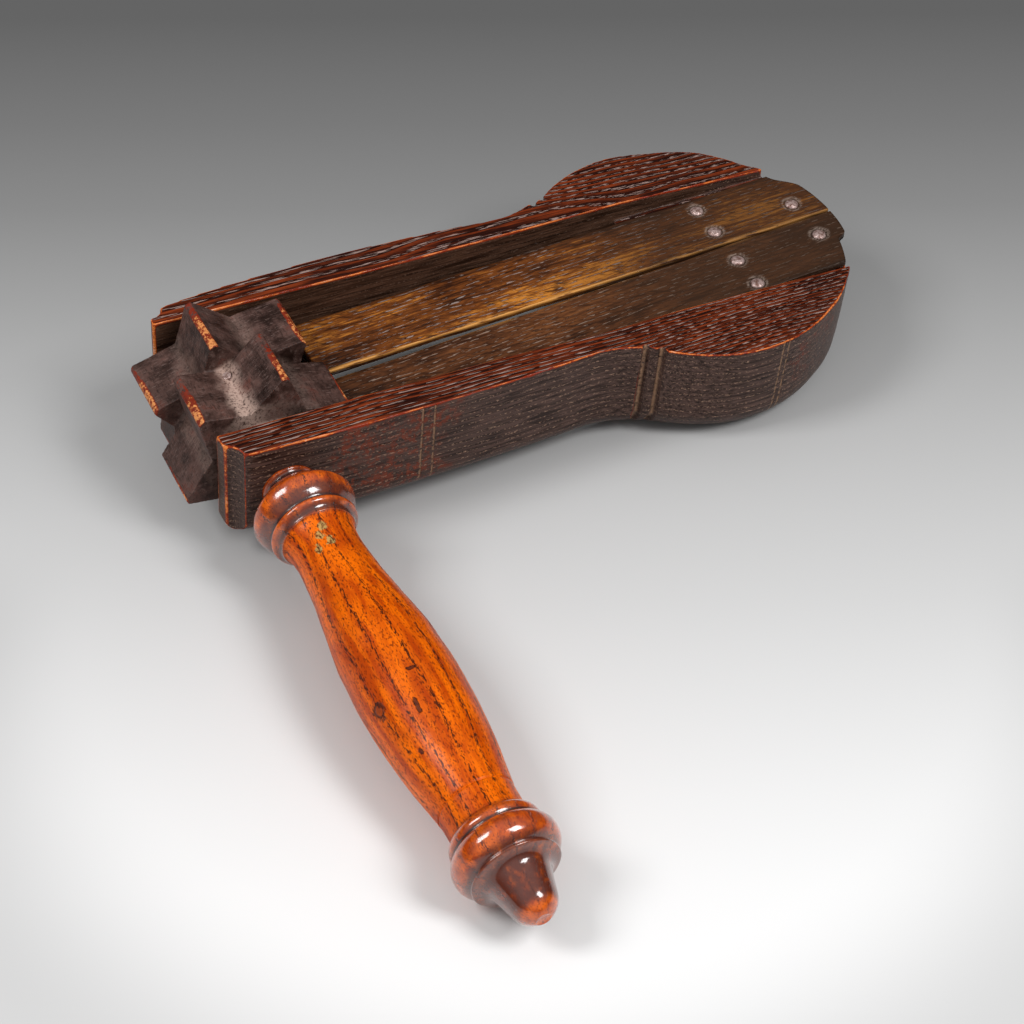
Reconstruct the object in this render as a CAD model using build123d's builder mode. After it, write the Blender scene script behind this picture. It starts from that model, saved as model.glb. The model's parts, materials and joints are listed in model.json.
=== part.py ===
"""Wooden gragger: a ratchet rattle with a swinging forked head, two slats and a toothed drum.

Millimetres. The origin is the middle of the hand grip, on the axis that the head swings about.
+X runs from the drum to the head's round tail, +Y from the grip to the head, +Z is up.
"""
import os
from math import atan2, cos, degrees, hypot, radians, sin, sqrt, tan

from build123d import *

os.makedirs("parts", exist_ok=True)

# Head, sawn from one plank. A reach is measured along X from the swing axis, and a setback
# along X from the middle of the round lobe towards the drum.
head_thickness = 36.0
slot_width = 54.0
slot_end_setback = 11.5
cog_end_reach = 18.9
cheek_end_thickness = 9.4
cheek_belly_thickness = 11.7
cheek_belly_reach = 47.0
cheek_waist_thickness = 9.3
waist_flare_radius = 40.0
waist_crease_angle = 18.0
lobe_reach = 158.5
lobe_radius = 54.0
neck_underside_round = 8.5
lobe_underside_round = 11.0
end_underside_round = 6.0

# Moulding on the two cheek ends, and the two grooves round the waist
end_step_width = 4.6
end_step_slope = 0.6
end_step_depth = 1.5
end_cove_length = 2.8
end_cove_hollow = 0.5
end_fillet_length = 2.0
groove_width = 2.0
groove_depth = 1.3
groove_setback = 37.7
groove_spacing = 4.2

# Toothed drum, two rows half a pitch apart
tooth_count = 6
tooth_tip_radius = 29.1
tooth_tip_flat = 1.8
tooth_half_angle = 34.0
valley_fill = 0.25
valley_round_angle = 4.0
front_row_angle = 19.0
collar_radius = 13.5
collar_length = 4.4
collar_end_gap = 0.4

# Spindle, turned in one piece with the handle
spindle_radius = 7.9
spindle_running_gap = 0.06
spindle_proud = 1.0
spindle_end_chamfer = 0.8
cog_bore_gap = 0.04

# Handle turning, from the front cheek to the finial
neck_length = 4.8
bead_width = 12.5
bead_radius = 16.0
bead_foot_radius = 13.2
ring_radius = 14.2
ring_width = 3.0
ring_foot = 0.6
ring_cove_length = 3.7
grip_length = 116.2
grip_start_radius = 11.4
grip_neck_radius = 10.35
grip_belly_radius = 15.45
grip_end_radius = 11.1
end_ring_radius = 13.4
end_ring_width = 3.8
end_ring_foot = 1.1
end_bead_radius = 15.5
end_bead_width = 9.8
end_bead_foot_radius = 12.4
end_fillet_radius = 13.0
end_fillet_width = 1.2
finial_cove_length = 3.0
finial_radius = 8.5
finial_length = 12.7
finial_nub_radius = 2.4

# Where the grip's and the finial's curves reach their sizes, as shares of their lengths
grip_neck_share = 0.065
grip_rise_share = 0.30
grip_belly_share = 0.57
grip_fall_share = 0.825
grip_end_share = 0.955
finial_bulge_share = 0.46
finial_bulge_narrowing = 0.83

# Slats. A height is that of the slat's middle above the swing axis.
reed_thickness = 2.4
reed_gap = 1.8
reed_wall_gap = 2.0
reed_engagement = 2.6
rear_reed_tip_height = 3.6
front_reed_tip_height = 0.4
reed_tail_recess = 0.2
reed_tail_overhang = 2.7
flex_overhang = 1.6
flex_gap = 0.1

# Nails and the pin that locks the drum to the spindle
nail_head_radius = 2.4
nail_head_height = 1.1
nail_crown_round = 0.9
nail_shank_radius = 1.1
nail_length = 17.0
nail_gap = 0.03
inner_nail_inset = 27.4
tail_nail_inset = 6.8
pin_radius = 1.5
pin_offset = 3.5
pin_depth = 5.0
pin_proud = 0.3
pin_gap = 0.03

# Where each slat's nails sit across its width, as shares counted from the head's middle line
rear_nail_shares = (0.25, 0.76, 0.305)
front_nail_shares = (0.32, 0.85, 0.355)

# The pin's valley, in tooth pitches round from the front row's first tooth
pin_valley_pitches = 1.5

# Places that follow from the sizes above
half_thickness = head_thickness / 2
half_slot = slot_width / 2
slot_end_reach = lobe_reach - slot_end_setback
lobe_tail_reach = lobe_reach + lobe_radius
pitch_angle = 360 / tooth_count
row_length = half_slot - collar_length - collar_end_gap
cheek_face = half_slot + cheek_end_thickness
front_of_grip = neck_length + bead_width + ring_width + ring_cove_length
cog_y = cheek_face + front_of_grip + grip_length / 2
beyond = 4 * head_thickness

# The waist: a hollow flare on each side that runs into the lobe's circle at a faint crease
waist_half = half_slot + cheek_waist_thickness
flare_centre_y = waist_half + waist_flare_radius
lobe_to_flare = sqrt(
    lobe_radius**2
    + waist_flare_radius**2
    + 2 * lobe_radius * waist_flare_radius * cos(radians(waist_crease_angle))
)
waist_setback = sqrt(lobe_to_flare**2 - flare_centre_y**2)
waist_reach = lobe_reach - waist_setback
waist_flare_turn = degrees(atan2(waist_setback, flare_centre_y))

head_plane = Plane(origin=(0, cog_y, 0))
section_plane = Plane(origin=(0, cog_y, 0), x_dir=(1, 0, 0), z_dir=(0, -1, 0))
swing_axis = Axis((0, 0, 0), (0, 1, 0))


def neck_outline():
    """Outer edge of the neck on one side, from the cog end to inside the round lobe."""
    end = -cog_end_reach
    moulding = [
        (end, 0),
        (end, half_slot),
        (end + end_step_slope, half_slot + end_step_width),
        (end + end_step_slope + end_step_depth, half_slot + end_step_width),
    ]
    cove_start = moulding[-1]
    cove_end = (cove_start[0] + end_cove_length, cheek_face - end_step_slope)
    cove_middle = (
        (cove_start[0] + cove_end[0]) / 2 + end_cove_hollow,
        (cove_start[1] + cove_end[1]) / 2 - end_cove_hollow,
    )
    neck_start = (cove_end[0] + end_fillet_length, cheek_face)
    belly = (cheek_belly_reach, half_slot + cheek_belly_thickness)
    waist = (waist_reach, waist_half)
    flare_centre = (waist_reach, flare_centre_y)
    flare_end = (
        waist_reach + waist_flare_radius * sin(radians(waist_flare_turn)),
        flare_centre_y - waist_flare_radius * cos(radians(waist_flare_turn)),
    )
    Polyline(*moulding)
    ThreePointArc(cove_start, cove_middle, cove_end)
    Line(cove_end, neck_start)
    ThreePointArc(neck_start, belly, waist)
    CenterArc(flare_centre, waist_flare_radius, -90, waist_flare_turn)
    Polyline(flare_end, (lobe_reach, lobe_radius / 2), (lobe_reach, 0))
    Line((lobe_reach, 0), (end, 0))


class Reed:
    """Where one slat lies: its slope, its flex line and its two edges."""

    def __init__(self, tip_height, side, nail_shares):
        self.tip_reach = tooth_tip_radius - reed_engagement
        tail_height = half_thickness - reed_thickness / 2 - reed_tail_recess
        rise = tail_height - tip_height
        run = lobe_tail_reach - self.tip_reach
        self.slope = atan2(rise, run)
        flex_reach = slot_end_reach - flex_overhang
        flex_height = tip_height + (flex_reach - self.tip_reach) * tan(self.slope)
        self.width = half_slot - reed_gap / 2 - reed_wall_gap
        self.middle_y = side * (reed_gap / 2 + self.width / 2)
        self.plane = Plane(
            origin=(flex_reach, cog_y + self.middle_y, flex_height),
            x_dir=(cos(self.slope), 0, sin(self.slope)),
            z_dir=(-sin(self.slope), 0, cos(self.slope)),
        )
        self.blade_length = (flex_reach - self.tip_reach) / cos(self.slope)
        root_reach = lobe_tail_reach + reed_tail_overhang - flex_reach
        self.root_length = root_reach / cos(self.slope) + reed_thickness
        self.bed_start = flex_overhang / cos(self.slope)
        across = [side * (share - 0.5) * self.width for share in nail_shares]
        inner_nail_reach = slot_end_reach + inner_nail_inset
        reaches = (inner_nail_reach, inner_nail_reach, lobe_tail_reach - tail_nail_inset)
        along = [(reach - flex_reach) / cos(self.slope) for reach in reaches]
        self.nail_places = list(zip(along, across))

    def edge_plane(self):
        """Plane across the slat through its flex line, seen from the front."""
        middle = self.plane.origin
        return Plane(origin=middle, x_dir=self.plane.x_dir, z_dir=(0, -1, 0))


rear_reed = Reed(rear_reed_tip_height, 1, rear_nail_shares)
front_reed = Reed(front_reed_tip_height, -1, front_nail_shares)

# Frame: the forked neck and the round lobe, in one plank
with BuildPart() as frame:
    with BuildSketch(head_plane.offset(-half_thickness)):
        with BuildLine():
            neck_outline()
        make_face()
        mirror(about=Plane.XZ)
    extrude(amount=head_thickness)
    underside = frame.faces().sort_by(Axis.Z)[0]
    long_curves = underside.edges().filter_by(GeomType.CIRCLE).filter_by(
        lambda edge: edge.center().X > 0
    )
    fillet(long_curves, neck_underside_round)
    with BuildSketch(Plane(origin=(lobe_reach, cog_y, 0), x_dir=(1, 0, 0), z_dir=(0, -1, 0))):
        with BuildLine():
            Polyline(
                (lobe_radius, -half_thickness + lobe_underside_round),
                (lobe_radius, half_thickness),
                (0, half_thickness),
                (0, -half_thickness),
                (lobe_radius - lobe_underside_round, -half_thickness),
            )
            RadiusArc(
                (lobe_radius - lobe_underside_round, -half_thickness),
                (lobe_radius, -half_thickness + lobe_underside_round),
                -lobe_underside_round,
            )
        make_face()
    revolve(axis=Axis((lobe_reach, cog_y, 0), (0, 0, 1)))
    # Slot that the drum and the slats work in, open at the cog end
    slot_length = slot_end_reach + 2 * cog_end_reach
    with Locations((slot_end_reach - slot_length / 2, cog_y, 0)):
        Box(slot_length, slot_width, head_thickness, mode=Mode.SUBTRACT)
    # Two sloping beds that the slats are nailed down on
    for reed, side in ((rear_reed, 1), (front_reed, -1)):
        with BuildSketch(reed.plane.offset(-reed_thickness / 2)):
            with Locations((beyond / 2 - reed.bed_start, side * half_slot / 2 - reed.middle_y)):
                Rectangle(beyond, half_slot)
        extrude(amount=head_thickness, mode=Mode.SUBTRACT)
        with Locations(reed.plane.offset(-reed_thickness / 2)):
            with Locations(*reed.nail_places):
                Hole(nail_shank_radius + nail_gap, nail_length - reed_thickness + nail_gap)
    # Bearing holes for the spindle, through both cheeks
    with Locations(Plane(origin=(0, cog_y, 0), z_dir=(0, 1, 0))):
        Hole(spindle_radius + spindle_running_gap)
    # Grooves across the outer faces at the waist
    for setback in (groove_setback, groove_setback - groove_spacing):
        flare_y = flare_centre_y - sqrt(waist_flare_radius**2 - (waist_setback - setback) ** 2)
        lobe_y = sqrt(lobe_radius**2 - setback**2)
        groove_floor = max(flare_y, lobe_y) - groove_depth
        for side in (1, -1):
            groove_middle = cog_y + side * (groove_floor + lobe_radius / 2)
            with Locations((lobe_reach - setback, groove_middle, 0)):
                Box(groove_width, lobe_radius, head_thickness, mode=Mode.SUBTRACT)
    # Lower corners of the cheeks' ends, rounded over
    end_corner = (-cog_end_reach, -half_thickness)
    end_round_bite = end_underside_round * (1 - cos(radians(45)))
    with BuildSketch(section_plane):
        with BuildLine():
            Polyline(
                (end_corner[0], end_corner[1] + end_underside_round),
                end_corner,
                (end_corner[0] + end_underside_round, end_corner[1]),
            )
            ThreePointArc(
                (end_corner[0] + end_underside_round, end_corner[1]),
                (end_corner[0] + end_round_bite, end_corner[1] + end_round_bite),
                (end_corner[0], end_corner[1] + end_underside_round),
            )
        make_face()
    extrude(amount=beyond, both=True, mode=Mode.SUBTRACT)
frame.part.label = "frame"
export_step(frame.part, "parts/frame.step")


def tooth_row(first_angle):
    """Outline of one row of pointed teeth with rounded valleys between them."""
    slope = tan(radians(tooth_half_angle))
    reach = tooth_tip_flat / 2 + tooth_tip_radius * slope
    turn_in = pitch_angle / 2 - valley_round_angle
    root_along = reach / (slope + tan(radians(turn_in)))
    root_radius = root_along / cos(radians(turn_in))
    sharp_along = reach / (slope + tan(radians(pitch_angle / 2)))
    valley_radius = sharp_along / cos(radians(pitch_angle / 2)) + valley_fill
    tip_turn = degrees(atan2(tooth_tip_flat / 2, tooth_tip_radius))
    corner_radius = hypot(tooth_tip_radius, tooth_tip_flat / 2)

    def at(radius, angle):
        return (radius * cos(radians(angle)), radius * sin(radians(angle)))

    for tooth in range(tooth_count):
        middle = first_angle + tooth * pitch_angle
        Polyline(
            at(root_radius, middle - turn_in),
            at(corner_radius, middle - tip_turn),
            at(corner_radius, middle + tip_turn),
            at(root_radius, middle + turn_in),
        )
        ThreePointArc(
            at(root_radius, middle + turn_in),
            at(valley_radius, middle + pitch_angle / 2),
            at(root_radius, middle + pitch_angle - turn_in),
        )
    return valley_radius


pin_angle = front_row_angle + pin_valley_pitches * pitch_angle
pin_plane = Plane(
    origin=(0, cog_y - pin_offset, 0),
    x_dir=(0, 1, 0),
    z_dir=(cos(radians(pin_angle)), 0, sin(radians(pin_angle))),
)

# Drum: two rows of teeth, with a plain collar at each end
with BuildPart() as cog:
    with BuildSketch(section_plane):
        with BuildLine():
            valley_radius = tooth_row(front_row_angle)
        make_face()
    extrude(amount=row_length)
    with BuildSketch(section_plane):
        with BuildLine():
            tooth_row(front_row_angle + pitch_angle / 2)
        make_face()
    extrude(amount=-row_length)
    for collar_plane in (section_plane.offset(row_length), section_plane.offset(-row_length)):
        with BuildSketch(collar_plane):
            Circle(collar_radius)
        extrude(amount=collar_length if collar_plane.origin.Y < cog_y else -collar_length)
    with Locations(section_plane):
        Hole(spindle_radius + cog_bore_gap)
    with BuildSketch(pin_plane):
        Circle(pin_radius + pin_gap)
    extrude(amount=tooth_tip_radius, mode=Mode.SUBTRACT)
cog.part.label = "cog"
export_step(cog.part, "parts/cog.step")

# Handle and spindle: one turning, drawn as radius against distance from the front cheek
cheek_y = cog_y - cheek_face
spindle_end = cog_y + cheek_face + spindle_proud
bead_end = neck_length + bead_width
grip_start = front_of_grip
grip_end = grip_start + grip_length
end_bead_start = grip_end + end_ring_width
end_bead_end = end_bead_start + end_bead_width
finial_start = end_bead_end + end_fillet_width
finial_shoulder = finial_start + finial_cove_length
finial_tip = finial_shoulder + finial_length


def turned(radius, distance):
    """A point of the handle's profile, in the sketch that the turning is revolved from."""
    return (radius, cheek_y - distance)


with BuildPart() as handle:
    with BuildSketch(Plane.XY):
        with BuildLine():
            Polyline(
                (0, spindle_end),
                (spindle_radius - spindle_end_chamfer, spindle_end),
                (spindle_radius, spindle_end - spindle_end_chamfer),
                turned(spindle_radius, neck_length),
                turned(bead_foot_radius, neck_length),
            )
            ThreePointArc(
                turned(bead_foot_radius, neck_length),
                turned(bead_radius, neck_length + bead_width / 2),
                turned(bead_foot_radius, bead_end),
            )
            Polyline(
                turned(bead_foot_radius, bead_end),
                turned(ring_radius, bead_end + ring_foot),
                turned(ring_radius, bead_end + ring_width),
            )
            ThreePointArc(
                turned(ring_radius, bead_end + ring_width),
                turned(
                    (2 * grip_start_radius + ring_radius) / 3,
                    bead_end + ring_width + ring_cove_length / 3,
                ),
                turned(grip_start_radius, grip_start),
            )
            Spline(
                turned(grip_start_radius, grip_start),
                turned(grip_neck_radius, grip_start + grip_neck_share * grip_length),
                turned(
                    (grip_neck_radius + grip_belly_radius) / 2,
                    grip_start + grip_rise_share * grip_length,
                ),
                turned(grip_belly_radius, grip_start + grip_belly_share * grip_length),
                turned(
                    (grip_end_radius + grip_belly_radius) / 2,
                    grip_start + grip_fall_share * grip_length,
                ),
                turned(grip_end_radius, grip_start + grip_end_share * grip_length),
                turned(grip_end_radius, grip_end),
            )
            Polyline(
                turned(grip_end_radius, grip_end),
                turned(end_ring_radius, grip_end),
                turned(end_ring_radius, end_bead_start - end_ring_foot),
                turned(end_bead_foot_radius, end_bead_start),
            )
            ThreePointArc(
                turned(end_bead_foot_radius, end_bead_start),
                turned(end_bead_radius, end_bead_start + end_bead_width / 2),
                turned(end_bead_foot_radius, end_bead_end),
            )
            Polyline(
                turned(end_bead_foot_radius, end_bead_end),
                turned(end_fillet_radius, end_bead_end),
                turned(end_fillet_radius, finial_start),
            )
            ThreePointArc(
                turned(end_fillet_radius, finial_start),
                turned(
                    (end_fillet_radius + 2 * finial_radius) / 3,
                    finial_start + finial_cove_length / 3,
                ),
                turned(finial_radius, finial_shoulder),
            )
            Spline(
                turned(finial_radius, finial_shoulder),
                turned(
                    finial_bulge_narrowing * finial_radius,
                    finial_shoulder + finial_bulge_share * finial_length,
                ),
                turned(finial_nub_radius, finial_tip),
            )
            Polyline(turned(finial_nub_radius, finial_tip), turned(0, finial_tip), (0, spindle_end))
        make_face()
    revolve(axis=swing_axis)
    with BuildSketch(pin_plane.offset(-pin_depth)):
        Circle(pin_radius + pin_gap)
    extrude(amount=tooth_tip_radius, mode=Mode.SUBTRACT)
handle.part.label = "handle"
export_step(handle.part, "parts/handle.step")

# Iron pin, driven through a valley of the drum into the spindle
with BuildPart() as cog_pin:
    with BuildSketch(pin_plane.offset(pin_gap - pin_depth)):
        Circle(pin_radius)
    extrude(amount=pin_depth - pin_gap + valley_radius + pin_proud)
    fillet(cog_pin.edges().group_by(Axis(pin_plane.origin, pin_plane.z_dir))[-1], pin_proud)
cog_pin.part.label = "cog_pin"
export_step(cog_pin.part, "parts/cog_pin.step")

for reed, name in ((rear_reed, "rear"), (front_reed, "front")):
    # Nailed root of the slat, hollowed at its front edge for the flex line
    with BuildPart() as root:
        with BuildSketch(reed.plane.offset(-reed_thickness / 2)):
            with Locations((reed.root_length / 2, 0)):
                Rectangle(reed.root_length, reed.width)
        extrude(amount=reed_thickness)
        with BuildSketch(reed.edge_plane()):
            Circle(reed_thickness / 2 + flex_gap)
        extrude(amount=reed.width, both=True, mode=Mode.SUBTRACT)
        with BuildSketch(Plane(origin=(lobe_reach, cog_y, -head_thickness))):
            Circle(lobe_radius + reed_tail_overhang)
        extrude(amount=2 * head_thickness, mode=Mode.INTERSECT)
        with Locations(reed.plane.offset(reed_thickness / 2)):
            with Locations(*reed.nail_places):
                Hole(nail_shank_radius + nail_gap)
    root.part.label = name + "_reed_root"
    export_step(root.part, "parts/" + name + "_reed_root.step")

    # Free blade of the slat, round where it meets the root
    with BuildPart() as blade:
        with BuildSketch(reed.edge_plane()):
            with Locations((-reed.blade_length / 2, 0)):
                Rectangle(reed.blade_length, reed_thickness)
            Circle(reed_thickness / 2)
        extrude(amount=reed.width / 2, both=True)
    blade.part.label = name + "_reed_blade"
    export_step(blade.part, "parts/" + name + "_reed_blade.step")

    # Three round-headed nails through the root into the frame
    with BuildPart() as nails:
        with BuildSketch(reed.plane.offset(reed_thickness / 2 - nail_length)):
            with Locations(*reed.nail_places):
                Circle(nail_shank_radius)
        extrude(amount=nail_length)
        with BuildSketch(reed.plane.offset(reed_thickness / 2)):
            with Locations(*reed.nail_places):
                Circle(nail_head_radius)
        extrude(amount=nail_head_height)
        up_from_slat = Axis(reed.plane.origin, reed.plane.z_dir)
        fillet(nails.edges().group_by(up_from_slat)[-1], nail_crown_round)
    nails.part.label = name + "_reed_nails"
    export_step(nails.part, "parts/" + name + "_reed_nails.step")
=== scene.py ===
"""Looks for the wooden gragger: worn oak head and drum, springy slats, iron nails, polished handle.

Places are in millimetres from the swing axis at the drum's middle, the same way round as the
frame: +X to the round tail, +Y away from the handle, +Z up. Meshes are in metres.
"""
import itertools
import json
import math

import bmesh
import bpy
import numpy as np
from mathutils import Matrix, Vector


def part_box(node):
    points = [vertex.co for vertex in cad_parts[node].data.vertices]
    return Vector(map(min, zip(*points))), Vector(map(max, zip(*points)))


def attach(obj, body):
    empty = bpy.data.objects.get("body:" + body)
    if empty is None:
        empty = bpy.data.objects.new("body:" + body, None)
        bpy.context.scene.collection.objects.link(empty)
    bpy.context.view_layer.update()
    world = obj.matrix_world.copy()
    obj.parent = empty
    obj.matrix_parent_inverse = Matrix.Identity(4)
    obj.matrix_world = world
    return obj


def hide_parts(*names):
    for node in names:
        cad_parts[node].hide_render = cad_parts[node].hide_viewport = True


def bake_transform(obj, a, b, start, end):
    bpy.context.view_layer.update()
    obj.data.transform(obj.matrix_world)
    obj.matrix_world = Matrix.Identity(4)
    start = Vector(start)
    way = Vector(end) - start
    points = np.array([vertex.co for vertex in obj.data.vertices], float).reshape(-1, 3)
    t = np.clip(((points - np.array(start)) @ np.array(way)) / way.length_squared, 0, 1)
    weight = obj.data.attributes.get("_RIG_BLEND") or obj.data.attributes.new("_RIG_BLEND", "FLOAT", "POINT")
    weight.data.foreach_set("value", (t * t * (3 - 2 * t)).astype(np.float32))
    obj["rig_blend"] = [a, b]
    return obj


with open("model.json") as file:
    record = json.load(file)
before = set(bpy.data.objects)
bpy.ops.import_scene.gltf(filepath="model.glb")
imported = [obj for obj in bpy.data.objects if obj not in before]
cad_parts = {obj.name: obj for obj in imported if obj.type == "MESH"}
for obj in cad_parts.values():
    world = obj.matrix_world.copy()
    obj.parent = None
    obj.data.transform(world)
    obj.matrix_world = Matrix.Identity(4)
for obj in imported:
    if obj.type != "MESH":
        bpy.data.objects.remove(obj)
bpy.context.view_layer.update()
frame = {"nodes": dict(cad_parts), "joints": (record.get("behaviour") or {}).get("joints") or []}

MM = 0.001
JOINTS = {joint["name"]: joint for joint in frame["joints"]}
AXLE = np.array(JOINTS["head_spin"]["pos_m"])


def from_axle(places):
    """Places in metres, as millimetres from the swing axis."""
    return (np.array(places) - AXLE) / MM


def in_metres(places):
    """Millimetres from the swing axis, as places in metres."""
    return np.array(places) * MM + AXLE


def mm_box(node):
    """Lowest and highest corner of a CAD node, in millimetres from the swing axis."""
    low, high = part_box(node)
    return from_axle(low), from_axle(high)


HEAD_LOW, HEAD_HIGH = mm_box("frame")
HEAD_BOTTOM = HEAD_LOW[2]
LOBE_MIDDLE = HEAD_HIGH[0] - (HEAD_HIGH[1] - HEAD_LOW[1]) / 2
SPINDLE_END = mm_box("handle")[1][1]

# Mesh fineness, rounds of softening for sawn edges, and the gap at which doubled points are joined
HEAD_VOXEL = 0.45
COG_VOXEL = 0.3
HEAD_SOFTENING = 3
COG_SOFTENING = 2
WELD = 0.002

# Odd numbers that scramble a lattice corner into a repeatable value
CORNER_FACTORS = (73856093, 19349663, 83492791)
SEED_FACTOR = 2654435761
MIX_FACTOR = 1274126177


# Mesh helpers

def new_object(name, data):
    made = bpy.data.objects.new(name, data)
    bpy.context.scene.collection.objects.link(made)
    return made


def piece_from(name, points, faces):
    """A piece from points in millimetres from the swing axis and lists of corner numbers."""
    mesh = bpy.data.meshes.new(name)
    mesh.from_pydata(in_metres(points).tolist(), [], faces)
    mesh.update()
    mesh.shade_smooth()
    return new_object(name, mesh)


def read(items, field, width, kind=float):
    """One field of a mesh's points, edges or faces, as rows of numbers."""
    flat = np.empty(len(items) * width, kind)
    items.foreach_get(field, flat)
    return flat.reshape(-1, width)


def points_of(mesh):
    return from_axle(read(mesh.vertices, "co", 3))


def normals_of(mesh):
    return read(mesh.vertex_normals, "vector", 3)


def edges_of(mesh):
    return read(mesh.edges, "vertices", 2, int)


def set_points(mesh, points):
    mesh.vertices.foreach_set("co", in_metres(points).ravel())
    mesh.update()


def neighbour_mean(values, edges):
    """Mean of each point's neighbours, for one column or several."""
    count = len(values)
    a, b = edges.T
    number = np.bincount(a, minlength=count) + np.bincount(b, minlength=count)
    columns = []
    for column in values.reshape(count, -1).T:
        total = np.bincount(a, column[b], count) + np.bincount(b, column[a], count)
        columns.append(total / np.maximum(number, 1))
    return np.stack(columns, 1)


def smooth(values, edges, rounds):
    """Values moved half way to their neighbours' mean, again and again."""
    smoothed = values.reshape(len(values), -1)
    for _ in range(rounds):
        smoothed = smoothed + 0.5 * (neighbour_mean(smoothed, edges) - smoothed)
    return smoothed.reshape(values.shape)


def convexity(mesh, spread):
    """How sharply each point stands out (positive) or lies in a hollow (negative)."""
    points = points_of(mesh)
    edges = edges_of(mesh)
    inward = neighbour_mean(points, edges) - points
    return smooth(-(inward * normals_of(mesh)).sum(1), edges, spread)


def store(mesh, name, values):
    attribute = mesh.attributes.new(name, "FLOAT", "POINT")
    attribute.data.foreach_set("value", np.clip(values, 0, 1).astype(np.float32))


def lattice_noise(points, wavelength, seed):
    """Smooth repeatable noise between -1 and 1, for points in millimetres."""
    cell = points / wavelength
    corner = np.floor(cell).astype(np.int64)
    part = cell - corner
    part = part * part * (3 - 2 * part)
    total = np.zeros(len(points))
    for step in itertools.product((0, 1), repeat=3):
        mixed = np.bitwise_xor.reduce((corner + step) * CORNER_FACTORS, 1) ^ (seed * SEED_FACTOR)
        mixed = (mixed ^ (mixed >> 13)) * MIX_FACTOR
        value = ((mixed ^ (mixed >> 16)) & 0xFFFF) / 32767.5 - 1
        total += value * np.where(step, part, 1 - part).prod(1)
    return total


def ease(low, high, values):
    """Eases from 0 to 1 as the values go from low to high."""
    part = np.clip((values - low) / (high - low), 0, 1)
    return part * part * (3 - 2 * part)


def bump_at(values, middle, width):
    return np.exp(-(((values - middle) / width) ** 2))


def bump_zone(values, start, end, fade=2.0):
    """One between start and end, easing to nothing at both."""
    return ease(start, start + fade, values) * (1 - ease(end - fade, end, values))


def from_axis(points):
    """Distance from the swing axis, which runs along Y."""
    return np.hypot(points[:, 0], points[:, 2])


def round_axis(points):
    """Degrees round the swing axis, from +X over the top."""
    return np.degrees(np.arctan2(points[:, 2], points[:, 0]))


def welded(mesh):
    """A bmesh copy with doubled points joined."""
    joined = bmesh.new()
    joined.from_mesh(mesh)
    bmesh.ops.remove_doubles(joined, verts=joined.verts, dist=WELD * MM)
    return joined


def fine_copy(node, name, voxel):
    """A finely and evenly meshed copy of a CAD node, as a new piece."""
    mesh = frame["nodes"][node].data.copy()
    mesh.materials.clear()
    joined = welded(mesh)
    joined.to_mesh(mesh)
    joined.free()
    piece = new_object(name, mesh)
    remesh = piece.modifiers.new("even", "REMESH")
    remesh.mode = "VOXEL"
    remesh.voxel_size = voxel * MM
    bpy.context.view_layer.update()
    graph = bpy.context.evaluated_depsgraph_get()
    fine = bpy.data.meshes.new_from_object(piece.evaluated_get(graph))
    piece.modifiers.clear()
    piece.data = fine
    fine.shade_smooth()
    return piece


def tube_faces(rings, around, first=0, flipped=False):
    """Faces between rings of points that follow one another."""
    faces = []
    for a in range(first, first + (rings - 1) * around, around):
        b = a + around
        for j in range(around):
            k = (j + 1) % around
            faces.append((a + j, a + k, b + k, b + j) if flipped else (a + j, b + j, b + k, a + k))
    return faces


def ring_face(ring, around, first=0):
    return tuple(range(first + ring * around, first + (ring + 1) * around))


# Node helpers

class Value:
    """A number, colour or place inside a node tree, with the steps that the looks need."""

    def __init__(self, shader, socket):
        self.shader = shader
        self.socket = socket

    def __add__(self, other):
        return self.shader.math("ADD", self, other)

    def __sub__(self, other):
        return self.shader.math("SUBTRACT", self, other)

    def __rsub__(self, other):
        return self.shader.math("SUBTRACT", other, self)

    def __mul__(self, other):
        return self.shader.math("MULTIPLY", self, other)

    def __truediv__(self, other):
        return self.shader.math("DIVIDE", self, other)

    def fraction(self):
        return self.shader.math("FRACT", self)

    def absolute(self):
        return self.shader.math("ABSOLUTE", self)

    def span(self, low, high, start=0.0, end=1.0):
        """Eases from start to end as the value goes from low to high."""
        inputs = {0: self, 1: low, 2: high, 3: start, 4: end}
        return self.shader.node("ShaderNodeMapRange", inputs, 0, interpolation_type="SMOOTHSTEP")

    def band(self, none, full, fall, gone):
        """Eases from 0 to 1 between none and full, and back to 0 between fall and gone."""
        return self.span(none, full) * self.span(fall, gone, 1.0, 0.0)

    def tint(self, share, colour):
        """This colour with a share of another laid over it."""
        return self.shader.mix(share, self, colour)

    def vector(self, operation, *others, output=0):
        inputs = dict(enumerate((self, *others)))
        return self.shader.node("ShaderNodeVectorMath", inputs, output, operation=operation)

    def length(self):
        return self.vector("LENGTH", output=1)

    def part(self, axis):
        return self.shader.node("ShaderNodeSeparateXYZ", {0: self}, axis)

    def noise(self, scale=1.0, detail=2.0, roughness=0.5, output=0):
        inputs = {"Vector": self, "Scale": scale, "Detail": detail, "Roughness": roughness}
        return self.shader.node("ShaderNodeTexNoise", inputs, output)

    def cloud(self, scale, **settings):
        """Noise with a scale of its own along each axis."""
        return self.vector("MULTIPLY", scale).noise(**settings)

    def grain(self, along, length, across, **settings):
        """Noise drawn out along the grain: length and across are feature sizes."""
        scale = [1 / across] * 3
        scale["XYZ".index(along)] = 1 / length
        return self.cloud(tuple(scale), **settings)

    def warped(self, scale, reach):
        """The place moved about by slow noise, as far as reach along each axis."""
        slow = self.cloud(scale, output=1).vector("ADD", (-0.5, -0.5, -0.5))
        return self.vector("ADD", slow.vector("MULTIPLY", reach))


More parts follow.
